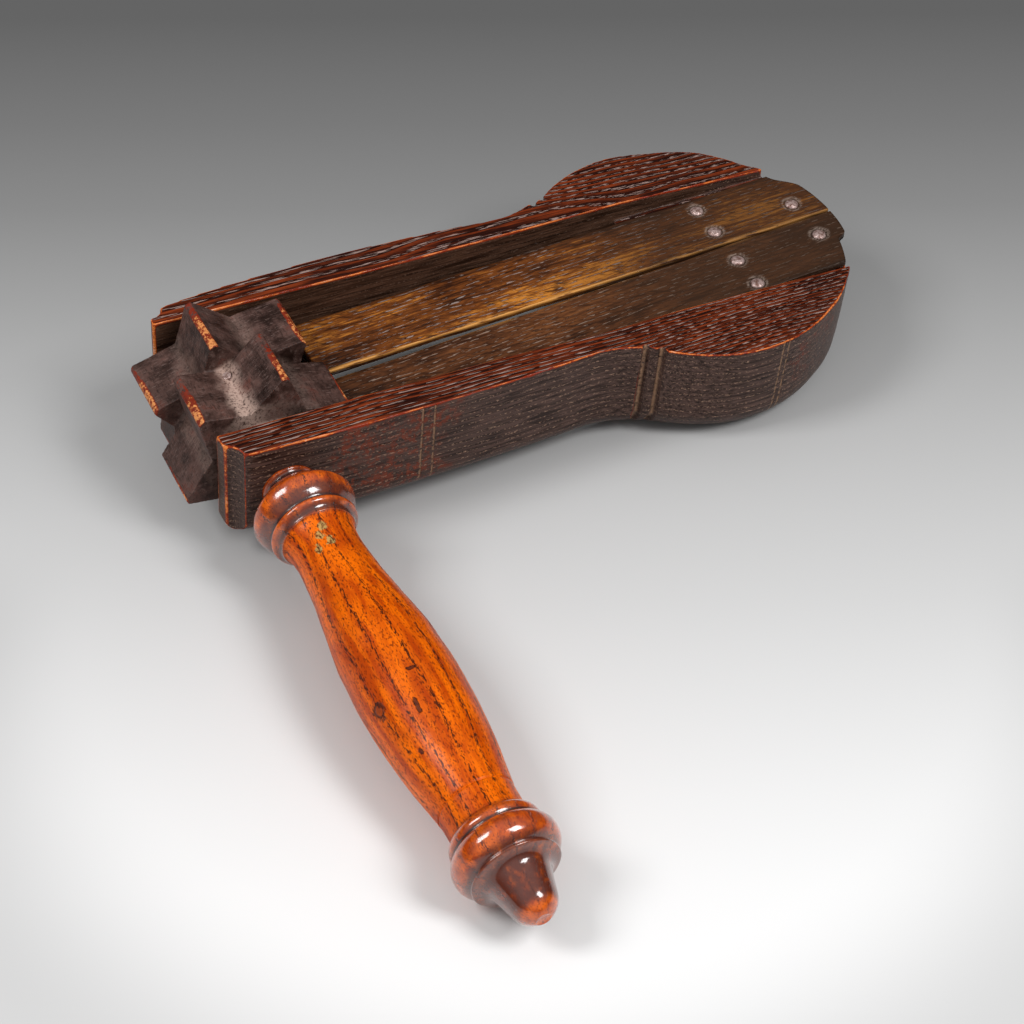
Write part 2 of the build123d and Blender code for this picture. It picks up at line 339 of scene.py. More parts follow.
class Shader:
    """The node tree of a material or a world."""

    def __init__(self, owner):
        self.owner = owner
        owner.use_nodes = True
        self.tree = owner.node_tree

    def feed(self, socket, value):
        if isinstance(value, Value):
            self.tree.links.new(value.socket, socket)
        elif isinstance(value, tuple) and len(value) == 3 and socket.type == "RGBA":
            socket.default_value = (*value, 1)
        else:
            socket.default_value = value

    def node(self, kind, inputs, output, **settings):
        node = self.tree.nodes.new(kind)
        for name, value in settings.items():
            setattr(node, name, value)
        for key, value in inputs.items():
            self.feed(node.inputs[key], value)
        return Value(self, node.outputs[output])

    def place(self):
        """The rest place of a surface point, in millimetres."""
        place = self.node("ShaderNodeTexCoord", {}, "Object")
        return place.vector("MULTIPLY_ADD", (1 / MM,) * 3, tuple(-AXLE / MM))

    def attributes(self, *names):
        return [self.node("ShaderNodeAttribute", {}, "Fac", attribute_name=name) for name in names]

    def joined(self, x, y, z):
        return self.node("ShaderNodeCombineXYZ", {0: x, 1: y, 2: z}, 0)

    def math(self, operation, a, b=0.0):
        return self.node("ShaderNodeMath", {0: a, 1: b}, 0, operation=operation)

    def most(self, values):
        """The greatest of some masks."""
        result = 0.0
        for value in values:
            result = self.math("MAXIMUM", result, value)
        return result

    def mix(self, share, a, b):
        node = self.tree.nodes.new("ShaderNodeMix")
        node.data_type = "RGBA"
        colours = [socket for socket in node.inputs if socket.type == "RGBA"]
        for socket, value in zip((node.inputs[0], *colours), (share, a, b)):
            self.feed(socket, value)
        return Value(self, [socket for socket in node.outputs if socket.type == "RGBA"][0])

    def bump(self, height, depth_mm, below=None):
        inputs = {"Height": height, "Strength": 1.0, "Distance": depth_mm * MM}
        if below is not None:
            inputs["Normal"] = below
        return self.node("ShaderNodeBump", inputs, 0)

    def sunk(self, mask, depth_mm, below):
        """A bump that presses a mask into the surface below it."""
        return self.bump(mask * -1.0, depth_mm, below)

    def finish(self, colour, roughness, normal=None, **constants):
        surface = self.tree.nodes["Principled BSDF"]
        self.feed(surface.inputs["Base Color"], colour)
        self.feed(surface.inputs["Roughness"], roughness)
        if normal is not None:
            self.feed(surface.inputs["Normal"], normal)
        for name, value in constants.items():
            surface.inputs[name.replace("_", " ")].default_value = value
        return self.owner


def new_material(name):
    return Shader(bpy.data.materials.new(name))


# Wood of the head: dark oak with grey-filled pores, worn red on its edges, with painted glints where they
# are most worn

RING_SPACING = 1.2
RING_WANDER = 9.0
PITH_Y = 15.0
PITH_Z = -25.0
FLECK_ROWS = 2.3
SCRIBED_LINES = (43.6, 47.8, 163.8, 166.0)


def ring_phase(shader, place):
    """Position within a growth ring, 0 to 1, for a pith that runs along X."""
    moved = place.warped((0.010, 0.025, 0.025), (0.0, RING_WANDER, RING_WANDER))
    flat = shader.joined(0.0, moved.part("Y") - PITH_Y, moved.part("Z") - PITH_Z)
    return (flat.length() / RING_SPACING).fraction()


def oak_pores(place, phase):
    """Masks of the pores, dashes along the grain in early wood, and of the dark rims beside them."""
    long = place.grain("X", 6.5, 0.36, detail=1.0)
    short = place.grain("X", 3.0, 0.30, detail=1.0)
    at_lobe = place.part("X").span(100.0, 135.0)
    dashes = long * (1.0 - at_lobe) + short * at_lobe
    crowd = place.cloud((0.05, 0.20, 0.20))
    early = phase.band(0.0, 0.12, 0.34, 0.52)
    over = dashes - (early.span(0.0, 1.0, 0.84, 0.585) - crowd * 0.14)
    return over.span(0.0, 0.04), over.band(-0.12, -0.03, -0.02, 0.01)


def head_material():
    shader = new_material("dark_oak")
    place = shader.place()
    reach = place.part("X")
    phase = ring_phase(shader, place)
    pores, rims = oak_pores(place, phase)
    streaks = place.grain("X", 16.0, 0.7, detail=4.0, roughness=0.65)
    blotches = place.cloud((0.030, 0.055, 0.055), detail=4.0, roughness=0.6)
    specks = place.grain("X", 0.95, 0.30, detail=1.0)
    broken = place.noise(0.8)
    top, wear_and_glint, dust, outer = shader.attributes("top", "wear_and_glint", "dust", "outer")

    # Upper faces: dark red-brown between rows of lilac-grey pores
    tone = streaks * 0.70 + phase.span(0.45, 0.95) * 0.14 + (blotches - 0.5) * 0.35
    top_wood = shader.mix(tone.span(0.30, 0.62), (0.015, 0.002, 0.0006), (0.230, 0.036, 0.007))
    top_wood = top_wood.tint(rims * 0.80, (0.010, 0.002, 0.0007))
    top_wood = top_wood.tint(pores * 0.88, (0.340, 0.230, 0.200))

    # Outer sides: dark and greyish, red in patches near the handle, with tan flecks in level rows
    side_wood = shader.mix(streaks.span(0.30, 0.70), (0.014, 0.006, 0.004), (0.108, 0.062, 0.050))
    near_handle = reach.band(8.0, 20.0, 46.0, 64.0)
    waist = reach.band(58.0, 70.0, 112.0, 128.0)
    redness = blotches + near_handle * 0.13 - waist * 0.20
    torn = place.noise(0.45, detail=5.0, roughness=0.75)
    red = redness.span(0.54, 0.68) * torn.span(0.46, 0.60) * outer
    side_wood = side_wood.tint(red * 0.75, (0.200, 0.032, 0.010))
    level = ((place.part("Z") + blotches * 5.0) / FLECK_ROWS).fraction()
    rows = level.band(0.0, 0.15, 0.35, 0.55)
    flecks = (specks - rows.span(0.0, 1.0, 0.78, 0.585)).span(0.0, 0.05)
    side_wood = side_wood.tint(flecks * 0.80, (0.360, 0.225, 0.155))

    # Walls of the slot: browner, with fainter flecks
    inner_wood = shader.mix(streaks.span(0.32, 0.70), (0.020, 0.008, 0.004), (0.115, 0.056, 0.034))
    inner_wood = inner_wood.tint(flecks * 0.45, (0.210, 0.130, 0.095))
    wood = inner_wood.tint(outer, side_wood).tint(top, top_wood)

    # Scribed pairs of lines across the outer faces, filled with dust
    wavy = reach + (broken - 0.5) * 0.8
    lines = [(wavy - at).absolute().span(0.18, 0.50, 1.0, 0.0) for at in SCRIBED_LINES]
    lines = shader.most(lines) * outer * broken.span(0.36, 0.50)
    dust = shader.most((dust * broken.span(0.26, 0.55), lines * 0.8))
    wood = wood.tint(dust * 0.85, (0.330, 0.190, 0.110))

    # Rubbed edges: red first, then bright orange, then pale painted glints on the most rubbed parts, in
    # ragged lengths
    frayed = place.grain("X", 9.0, 1.0, detail=4.0, roughness=0.75)
    long_runs = place.cloud((0.045, 0.09, 0.09))
    rubbed = wear_and_glint * ((frayed - 0.5) * 2.2 + (long_runs - 0.5) * 1.6 + 0.80)
    wood = wood.tint(rubbed.span(0.22, 0.48) * 0.94, (0.230, 0.020, 0.003))
    wood = wood.tint(rubbed.span(0.58, 0.88) * 0.95, (0.720, 0.200, 0.040))
    # Painted glint: a pale tint where the edges are most rubbed
    wood = wood.tint(rubbed.span(1.00, 1.30) * 0.8, (0.880, 0.560, 0.400))

    roughness = streaks.span(0.3, 0.75, 0.30, 0.46) - wear_and_glint.span(0.3, 0.9) * 0.12
    normal = shader.bump(place.grain("X", 4.0, 0.25, detail=3.0), 0.10)
    normal = shader.sunk(pores, 0.14, normal)
    normal = shader.sunk(lines, 0.30, normal)
    return shader.finish(wood, roughness, normal, Specular_IOR_Level=0.16)


# Head

GROOVES = (120.8, 125.0)
GROOVE_DEPTH = 1.3
HEAD_CHIPS = 0.40
NECK_ROUND = 8.5
BORE_RADIUS = 8.0
BORE_WEAR = 0.35

# The slot's walls, how far out their stray fades into the outline's, and where outer faces begin
HEAD_WALL = 27.0
STRAY_FADE = 8.0
OUTER_FACES = (28.2, 29.4)

# How far the hand-sawn outline strays outward from the drawn one: (along X, shift) in millimetres
NEAR_STRAY = ((-19.0, 2.0), (-2.0, 1.3), (40.0, 0.0), (105.0, -0.2), (123.0, 0.5), (147.0, 0.7),
              (170.0, 0.0), (186.0, -0.8), (200.0, 0.0))
FAR_STRAY = ((-19.0, -2.4), (0.0, -1.2), (50.0, 0.0), (107.0, 0.2), (119.0, 1.2), (126.0, -0.8),
             (154.0, -0.5), (172.0, -1.4), (189.0, 0.4), (203.0, -1.6))
NEAR_WALL_STRAY = ((75.0, 0.0), (108.0, 1.4), (142.0, 0.5), (202.0, 1.4))
FAR_WALL_STRAY = ((60.0, 0.0), (97.0, 0.7), (148.0, 2.2), (202.0, 1.0))


def stray(points):
    """Sideways shift of each point of the head, so that its outline follows the worn one."""
    x, y = points[:, 0], points[:, 1]
    shift = np.zeros(len(points))
    for side, outline, wall in ((-1, NEAR_STRAY, NEAR_WALL_STRAY), (1, FAR_STRAY, FAR_WALL_STRAY)):
        at_outline, at_wall = (np.interp(x, *zip(*run)) for run in (outline, wall))
        share = ease(HEAD_WALL, HEAD_WALL + STRAY_FADE, side * y)
        inside = ease(HEAD_WALL - 2.0, HEAD_WALL - 0.2, side * y)
        both = inside * ((1 - share) * at_wall + share * at_outline)
        shift += side * np.where(side * y > 0, both, 0)
    return shift


def near_groove(x, full, gone, shift=0.0):
    """One within a waist groove, easing to nothing beside it."""
    return np.maximum.reduce([1 - ease(full, gone, np.abs(x - at - shift)) for at in GROOVES])


def build_head():
    piece = fine_copy("frame", "head_plank", HEAD_VOXEL)
    mesh = piece.data
    edges = edges_of(mesh)
    points = smooth(points_of(mesh), edges, HEAD_SOFTENING)
    set_points(mesh, points)
    normals = normals_of(mesh)
    x, y, z = points.T
    outward = normals[:, 1] * np.sign(y)
    past_tail = ease(LOBE_MIDDLE + 20.0, LOBE_MIDDLE + 30.0, x)
    outward = np.maximum(outward, past_tail * normals[:, 0])
    facing_out = ease(-0.2, 0.1, outward) * (1 - ease(0.75, 0.9, normals[:, 2]))
    outer = np.maximum(ease(*OUTER_FACES, np.abs(y)), past_tail) * facing_out

    # The waist grooves run on under the rounded lower edge
    low = 1 - ease(HEAD_BOTTOM + NECK_ROUND - 4.5, HEAD_BOTTOM + NECK_ROUND, z)
    depth = near_groove(x, 0.55, 1.15) * outer * GROOVE_DEPTH * low
    depth = depth * (1 - ease(0.6, 0.95, -normals[:, 2]))

    # Hand-cut waviness, and chips along the edges
    wobble = 0.16 * lattice_noise(points, 26.0, 1) + 0.07 * lattice_noise(points, 7.0, 2)
    sharp = ease(0.03, 0.10, convexity(mesh, 1))
    chips = sharp * ease(0.30, 0.80, lattice_noise(points, 4.0, 3)) * HEAD_CHIPS
    curve = convexity(mesh, 2)
    points = points + normals * (wobble - depth - chips)[:, None]
    points[:, 1] += stray(points)

    # The bearing holes are worn a little wide
    radial = from_axis(points)
    near_hole = 1 - ease(0.2, 1.2, radial - BORE_RADIUS)
    points[:, (0, 2)] *= (1 + BORE_WEAR * near_hole / np.maximum(radial, 1))[:, None]
    set_points(mesh, points)

    # Wear along the edges, which also places the painted glints, less between the grooves, and dust packed
    # into the grooves and corners
    x = points[:, 0]
    first, last = GROOVES
    between = ease(first - 0.3, first + 0.3, x) * (1 - ease(last + 1.2, last + 2.0, x))
    packed = near_groove(x, 0.2, 0.7, 0.3)
    store(mesh, "wear_and_glint", ease(0.008, 0.040, curve) * (1 - 0.8 * between * outer))
    store(mesh, "dust", np.maximum(packed * outer, 0.5 * ease(0.03, 0.07, -curve)))
    store(mesh, "top", smooth(ease(0.55, 0.85, normals[:, 2]), edges, 1))
    store(mesh, "outer", outer)
    mesh.materials.append(head_material())
    return piece


# Drum

def cog_material():
    shader = new_material("black_oak")
    place = shader.place()
    cloud = place.cloud((0.10, 0.10, 0.10), detail=5.0, roughness=0.65)
    scratch = place.grain("Y", 0.5, 2.4, detail=4.0, roughness=0.7)
    grain = place.grain("Y", 3.0, 0.5, detail=3.0, roughness=0.7)
    grit = place.noise(1.1, detail=3.0, roughness=0.7)
    wear_and_glint, rubbed, dust = shader.attributes("wear_and_glint", "rubbed", "dust")
    wood = shader.mix(cloud.span(0.32, 0.66), (0.014, 0.005, 0.003), (0.112, 0.058, 0.047))
    wood = wood.tint(cloud.span(0.56, 0.68, 0.0, 0.6), (0.105, 0.022, 0.012))
    wood = wood.tint(grain.span(0.36, 0.50, 0.60, 0.0), (0.012, 0.005, 0.003))
    wood = wood.tint(scratch.span(0.52, 0.72, 0.0, 0.70), (0.185, 0.120, 0.104))
    wood = wood.tint(dust * grit.span(0.32, 0.54) * 0.88, (0.500, 0.350, 0.290))
    patchy = place.noise(0.60, detail=4.0, roughness=0.75)
    ragged = rubbed * ((patchy - 0.5) * 2.8 + 0.85)
    wood = wood.tint(ragged.span(0.30, 0.48) * 0.92, (0.200, 0.018, 0.004))
    wood = wood.tint(ragged.span(0.74, 0.98) * 0.95, (0.700, 0.270, 0.085))
    # Worn arrises, lightened partly by wear and partly as a painted highlight
    arris_wear_and_highlight = wear_and_glint + (grit - 0.5) * 0.9
    wood = wood.tint(arris_wear_and_highlight.span(0.50, 0.75) * 0.85, (0.400, 0.120, 0.070))
    roughness = cloud.span(0.3, 0.7, 0.36, 0.55)
    normal = shader.bump(grain, 0.08, shader.bump(scratch, 0.12))
    return shader.finish(wood, roughness, normal, Specular_IOR_Level=0.22)


# The teeth as they were cut: (angle of a ridge as drawn, how far it really is round), for each row
NEAR_ROW = ((20.0, 0.0), (49.0, 0.0), (79.0, -0.2), (109.0, -1.0), (139.0, -1.4), (169.0, 1.5),
            (199.0, 4.3), (229.0, 2.0), (259.0, 0.0))
FAR_ROW = ((-10.0, 0.0), (19.0, -3.0), (49.0, -5.3), (79.0, -3.0), (109.0, -1.0), (139.0, -2.2),
           (169.0, -3.4), (199.0, -1.5), (229.0, 0.0))
TOOTH_PITCH = 60.0
NEAR_RIDGE = 79.0
FAR_RIDGE = 49.0
ROW_LENGTH = 27.0
CREASE_DEPTH = 0.5
COG_CHIPS = 0.45
DUSTY_VALLEY = 112.0


def in_near_row(points, normals):
    """Whether a point is in the handle's row; where the rows meet, the way it faces says so."""
    y = points[:, 1]
    return np.where(np.abs(y) < 0.4, normals[:, 1] > 0, y < 0)


def tooth_turn(points, normals):
    """How far each point of the drum turns round the axle, in degrees, row by row."""
    angle = round_axis(points)
    near_turn = np.interp(np.mod(angle + 100.0, 360.0) - 100.0, *zip(*NEAR_ROW))
    far_turn = np.interp(np.mod(angle + 130.0, 360.0) - 130.0, *zip(*FAR_ROW))
    turn = np.where(in_near_row(points, normals), near_turn, far_turn)
    return turn * ease(10.0, 18.0, from_axis(points))


def flat_flanks(points, normals):
    """Straightens the teeth's flanks, so that they meet in a crease at the bottom of each valley."""
    half = TOOTH_PITCH / 2
    ridge = np.where(in_near_row(points, normals), NEAR_RIDGE, FAR_RIDGE)
    turn = np.abs(np.mod(round_axis(points) - ridge + half, TOOTH_PITCH) - half)
    radial = from_axis(points)
    skin = (np.abs(normals[:, 1]) < 0.2) & (radial > 16.5)
    steps = np.arange(0.5, half, 1.0)
    drawn = np.array([np.median(radial[skin & (np.abs(turn - step) < 0.5)]) for step in steps])
    crest_turn, crest, crease = steps[2], drawn[2], drawn[-1] - CREASE_DEPTH
    a, b, t = np.radians(crest_turn), np.radians(half), np.radians(steps)
    straight = crest * crease * np.sin(b - a) / (crest * np.sin(t - a) + crease * np.sin(b - t))
    wanted = np.where(steps > crest_turn, straight, drawn)
    factor = np.interp(turn, steps, wanted / drawn)
    scaled = points.copy()
    scaled[:, (0, 2)] *= (1 + ease(11.0, 17.0, radial) * (factor - 1))[:, None]
    return scaled


def build_cog():
    piece = fine_copy("cog", "toothed_drum", COG_VOXEL)
    mesh = piece.data
    points = smooth(points_of(mesh), edges_of(mesh), COG_SOFTENING)
    set_points(mesh, points)
    points = flat_flanks(points, normals_of(mesh))
    set_points(mesh, points)
    normals = normals_of(mesh)
    radial = from_axis(points)
    curve = convexity(mesh, 2)
    sharp = ease(0.02, 0.08, convexity(mesh, 1))
    wobble = 0.07 * lattice_noise(points, 12.0, 11) + 0.03 * lattice_noise(points, 3.2, 12)
    chips = sharp * ease(0.2, 0.8, lattice_noise(points, 4.0, 13)) * COG_CHIPS
    turn = np.radians(tooth_turn(points, normals))
    points = points + normals * (wobble - chips)[:, None]
    x, y, z = points.T.copy()
    points[:, 0] = x * np.cos(turn) - z * np.sin(turn)
    points[:, 2] = x * np.sin(turn) + z * np.cos(turn)
    set_points(mesh, points)

    # Rubbed tips, worn edges below them, lightened partly as a painted highlight, and dust in the valleys,
    # most of it in one
    tip = radial.max()
    rubbed = ease(tip - 1.0, tip - 0.3, radial + 0.45 * lattice_noise(points, 6.0, 14))
    across = np.mod(y, ROW_LENGTH) / ROW_LENGTH
    store(mesh, "rubbed", rubbed * (1 - 0.62 * ease(0.35, 0.85, across)))
    store(mesh, "wear_and_glint", ease(0.012, 0.045, curve) * (1 - ease(tip - 1.6, tip - 0.8, radial)))
    valley = 0.15 + 0.85 * bump_at(round_axis(points), DUSTY_VALLEY, 16.0) * (y < 0.5)
    low = 1 - ease(19.4, 21.6, radial + 1.2 * lattice_noise(points, 4.0, 15))
    store(mesh, "dust", low * valley)
    mesh.materials.append(cog_material())
    return piece


# Slats

PORE_ROWS = 1.7
RAY_SLANT = 0.42


def reed_material(name, gold, middle, dark, fleck, offset):
    shader = new_material(name)
    own = shader.place()
    place = own.vector("ADD", (offset, 3 * offset, 0.0))
    streaks = place.grain("X", 17.0, 1.0, detail=5.0, roughness=0.7)
    cloud = place.cloud((0.018, 0.06, 0.06), detail=3.0)
    dashes = place.grain("X", 4.0, 0.36, detail=1.0)
    crowd = place.grain("X", 60.0, 1.6, detail=1.0)
    slanted = shader.node(
        "ShaderNodeVectorRotate", {"Vector": place, "Angle": RAY_SLANT}, 0, rotation_type="Z_AXIS"
    )
    rays = slanted.grain("X", 7.0, 1.1, detail=3.0)
    edge, grime_and_shade, crushed = shader.attributes("edge", "grime_and_shade", "crushed")

    # Streaked wood, smeared by slanting rays, with pores in lines along it
    tone = streaks * 0.60 + cloud * 0.48
    wood = shader.mix(tone.span(0.44, 0.58), dark, middle)
    wood = wood.tint(tone.span(0.57, 0.68), gold)
    wood = wood.tint(rays.span(0.56, 0.66) * cloud.span(0.40, 0.52) * 0.70, dark)
    wavy = place.cloud((0.02, 0.10, 0.10))
    line = ((place.part("Y") + wavy * 5.0) / PORE_ROWS).fraction()
    limit = line.band(0.0, 0.15, 0.35, 0.55).span(0.0, 1.0, 0.74, 0.56)
    over = dashes - (limit + crowd.span(0.36, 0.62, 0.05, -0.03))
    pores = over.span(0.0, 0.05)
    rims = over.band(-0.10, -0.03, -0.02, 0.01)
    wood = wood.tint(rims * 0.70, dark).tint(pores * 0.88, fleck)

    # Darker to the tail, grime round the nails, painted shade along the wall and under the inner edge, and
    # golden along the inner edge with a painted highlight
    tail = own.part("X").span(95.0, 165.0)
    wood = wood.tint(tail * 0.72, (0.038, 0.018, 0.009))
    # Grime round the nails, painted shade under the inner edge and by the wall, and darkening at the tip, in
    # one mask
    wood = wood.tint(grime_and_shade * 0.85, (0.014, 0.008, 0.005))
    wood = wood.tint(crushed * dashes.span(0.35, 0.55) * 0.8, (0.330, 0.250, 0.205))
    frayed = place.grain("X", 9.0, 0.7, detail=3.0)
    # Golden inner edge, brightened partly as a painted highlight
    lit = edge * frayed.span(0.34, 0.50) * tail.span(0.0, 1.0, 0.92, 0.35)
    wood = wood.tint(lit, (0.700, 0.330, 0.080))
    roughness = streaks.span(0.3, 0.7, 0.36, 0.54)
    normal = shader.sunk(pores, 0.14, shader.bump(streaks, 0.10))
    return shader.finish(wood, roughness, normal, Specular_IOR_Level=0.18)


REED_STEP = 0.7
REED_CORNER = 0.45
END_GAP = 0.15
INNER_SHIFT = 0.5
DENT_DEPTH = 0.55


class Reed:
    """One slat's place, read from its CAD blade and root, and its nails' places on it."""

    def __init__(self, side):
        self.side = side
        blade = points_of(frame["nodes"][side + "_reed_blade"].data)
        root_low, root_high = mm_box(side + "_reed_root")
        self.flex = from_axle(JOINTS[side + "_reed_flex"]["pos_m"])
        tip = blade[blade[:, 0] < blade[:, 0].min() + 0.5].mean(0)
        self.flex[1] = tip[1]
        along = self.flex - tip
        self.blade_length = np.linalg.norm(along)
        self.along = along / self.blade_length
        self.across = np.array((0.0, 1.0, 0.0))
        self.up = np.cross(self.along, self.across)
        self.width = root_high[1] - root_low[1]
        self.thickness = np.ptp((blade - self.flex) @ self.up)
        self.root_length = (root_high[0] - self.flex[0]) / self.along[0]
        self.tail_radius = root_high[0] - LOBE_MIDDLE
        self.nails = [self.local(middle) for middle in nail_middles(side + "_reed_nails")]

    def local(self, point):
        offset = point - self.flex
        return np.array((offset @ self.along, offset @ self.across, offset @ self.up))

    def world(self, local):
        x, y, z = local.T[:, :, None]
        return self.flex + x * self.along + y * self.across + z * self.up


def nail_middles(node):
    """Middle of each nail in a CAD node that holds several, in order along Y."""
    joined = welded(frame["nodes"][node].data)
    left = set(joined.verts)
    middles = []
    while left:
        island = [left.pop()]
        for vert in island:
            for edge in vert.link_edges:
                other = edge.other_vert(vert)
                if other in left:
                    left.remove(other)
                    island.append(other)
        corner_shade = np.array([vert.co for vert in island])
        middles.append(from_axle((corner_shade.min(0) + corner_shade.max(0)) / 2))
    joined.free()
    return sorted(middles, key=lambda middle: middle[1])


def ring_section(width, thickness):
    """Points round a slat's section: top and far edge, then underside and near edge, softened."""
    half, top = width / 2, thickness / 2
    y, z = half - REED_CORNER, top - REED_CORNER
    turn = np.linspace(0, math.pi / 2, 4)[1:-1]
    corner = [(math.sin(a) * REED_CORNER, math.cos(a) * REED_CORNER) for a in turn]
    outline = [(flat, top) for flat in np.linspace(-y, y, int(width / REED_STEP))]
    outline += [(y + s, z + c) for s, c in corner]
    outline += [(half, level) for level in np.linspace(z, -z, 3)]
    outline += [(y + c, -z - s) for s, c in corner]
    outline = np.array(outline)
    return np.concatenate([outline, -outline])


def tail_cut(side, y):
    """How far a slat's tail is broken back from its round end, along its length."""
    if side == "rear":
        return 4.5 * ease(15.5, 24.5, y)
    return 3.4 * (1 - ease(-13.6, -12.2, y))


def build_reed(reed, material, seed):
    section = ring_section(reed.width, reed.thickness)
    around = len(section)
    count = int((reed.blade_length + reed.root_length) / REED_STEP)
    y = section[:, 0] + reed.flex[1]
    round_end = LOBE_MIDDLE + np.sqrt(reed.tail_radius**2 - y**2)
    end = (round_end - reed.flex[0]) / reed.along[0] - END_GAP - tail_cut(reed.side, y)
    rows = []
    for part in np.linspace(0, 1, count):
        x = -reed.blade_length + part * (end + reed.blade_length)
        rows.append(np.stack([x, section[:, 0], section[:, 1]], 1))
    local = np.concatenate(rows)
    faces = tube_faces(count, around, flipped=True)
    faces += [ring_face(0, around)[::-1], ring_face(count - 1, around)]

    # Uneven edges and faces, the inner edge a little further out, and a dent round each nail
    half = reed.width / 2
    inner = -1 if reed.side == "rear" else 1
    noise_at = local.copy()
    edge_shift = np.where(local[:, 1] * inner > 0, INNER_SHIFT, 0.0)
    edge_shift = edge_shift + 0.22 * lattice_noise(noise_at * (1, 0.02, 0.02), 11.0, seed)
    at_edge = ease(0.8, 1.0, np.abs(local[:, 1]) / half)
    local[:, 1] += edge_shift * np.sign(local[:, 1]) * at_edge
    upper = ease(-0.2, 0.9, local[:, 2])
    local[:, 2] += upper * 0.12 * lattice_noise(noise_at * (0.2, 1, 1), 3.0, seed + 1)
    grime_and_shade = np.zeros(len(local))
    crushed = np.zeros(len(local))
    for nail in reed.nails:
        away = np.hypot(local[:, 0] - nail[0], local[:, 1] - nail[1])
        away = away + 0.35 * lattice_noise(noise_at, 2.0, seed + 2)
        dent = bump_at(away, 0.0, 2.9) - 0.35 * bump_at(away, 3.9, 0.8)
        local[:, 2] -= upper * DENT_DEPTH * dent
        grime_and_shade = np.maximum(grime_and_shade, bump_at(away, 2.6, 0.5) * 0.9)
        crushed = np.maximum(crushed, 0.75 * bump_at(away, 3.15, 0.35))
    piece = piece_from(reed.side + "_slat", reed.world(local), faces)

    # Golden inner rim with a painted highlight, painted shade below it, painted shade by the wall, and
    # darker towards the tip
    mesh = piece.data
    inward = local[:, 1] * inner - INNER_SHIFT
    rim = ease(half - 0.50, half - 0.28, inward) * (1.0 if reed.side == "rear" else 0.3)
    store(mesh, "edge", rim * ease(0.35, 0.85, local[:, 2]))
    shade = ease(half - 0.3, half - 0.1, inward) * (1 - ease(0.2, 0.7, local[:, 2])) * 0.75
    # Painted shade in the corner where the slat meets the wall
    wall = ease(half - 3.0, half, -local[:, 1] * inner) * 0.6
    tipward = 1 - ease(-reed.blade_length, -reed.blade_length + 30.0, local[:, 0])
    store(mesh, "grime_and_shade", np.maximum.reduce([grime_and_shade, shade, wall, 0.25 * tipward]))
    store(mesh, "crushed", crushed * upper)
    mesh.materials.append(material)
    return piece


# Nails and pin

NAIL_HEAD = 2.4
NAIL_CROWN = 1.25
NAIL_SINK = 0.55
NAIL_AROUND = 28
CROWN_RINGS = 9

# Rings of a nail's shank: (radius, height above the slat's top)
NAIL_SHANK = ((1.05, -0.7), (1.05, -15.0), (0.05, -17.0))


def iron_material():
    shader = new_material("worn_iron")
    place = shader.place()
    rust = place.noise(0.9, detail=4.0, roughness=0.6)
    pits = place.noise(2.6, detail=3.0)
    colour = shader.mix(rust.span(0.40, 0.66), (0.520, 0.380, 0.350), (0.170, 0.085, 0.065))
    roughness = rust.span(0.3, 0.65, 0.22, 0.45)
    return shader.finish(colour, roughness, shader.bump(pits, 0.16), Metallic=0.45)


def build_nails(reed, material, seed):
    """Hammered round heads on short shanks, sunk a little into the slat."""
    top = reed.thickness / 2
    angles = np.arange(NAIL_AROUND) * 2 * math.pi / NAIL_AROUND
    circle = np.stack([np.cos(angles), np.sin(angles)], 1)
    rings = CROWN_RINGS + len(NAIL_SHANK)
    points, faces = [], []
    for number, nail in enumerate(reed.nails):
        first = len(points)
        seats = np.column_stack([nail[:2] + circle, np.full(NAIL_AROUND, number * 9.0)])
        hammered = 1 + 0.07 * lattice_noise(seats * 3, 2.4, seed)
        outline = []
        for turn in np.linspace(0, math.pi / 2, CROWN_RINGS):
            height = NAIL_CROWN * math.cos(turn) ** 0.8 - NAIL_SINK
            outline.append((NAIL_HEAD * math.sin(turn) * hammered, height))
        outline += [(np.full(NAIL_AROUND, radius), height) for radius, height in NAIL_SHANK]
        for radii, height in outline:
            points += [(*place, top + height) for place in nail[:2] + radii[:, None] * circle]
        faces += tube_faces(rings, NAIL_AROUND, first)
        faces.append(ring_face(rings - 1, NAIL_AROUND, first)[::-1])
    piece = piece_from(reed.side + "_nails", reed.world(np.array(points)), faces)
    piece.data.materials.append(material)
    return piece


# Handle: one turning, as runs of (distance from the near cheek, radius) with a crease between runs

NECK_RUNS = (
    ((0.4, 7.9), (0.9, 8.45), (1.7, 8.55), (2.4, 8.3)),
    ((2.4, 8.3), (2.7, 7.7), (3.6, 7.4), (4.6, 8.4)),
    ((4.6, 8.4), (5.6, 9.3), (7.0, 10.9), (8.8, 12.7), (10.6, 14.3), (12.0, 15.5), (13.2, 16.0),
     (14.8, 15.9), (16.6, 15.3), (18.2, 14.5), (19.2, 13.7), (19.7, 13.2)),
    ((19.7, 13.2), (20.1, 12.9), (20.5, 13.1)),
    ((20.5, 13.1), (21.0, 13.6), (21.6, 13.8), (22.3, 13.6), (22.9, 12.9)),
    ((22.9, 12.9), (23.4, 12.3), (24.0, 11.9), (24.7, 11.65)),
    ((24.7, 11.65), (24.9, 11.75), (25.2, 11.4)),
)
GRIP_RUN = (
    (25.2, 11.4), (26.7, 10.85), (29.0, 10.5), (33.6, 10.3), (40.0, 10.7), (46.6, 11.27),
    (53.0, 12.1), (59.6, 13.0), (66.0, 13.95), (72.3, 14.75), (78.5, 15.0), (84.6, 15.35),
    (90.7, 15.35), (98.7, 15.05), (104.6, 14.67), (112.3, 14.0), (118.0, 13.3), (123.7, 12.4),
    (129.3, 11.55), (130.8, 11.35),
)
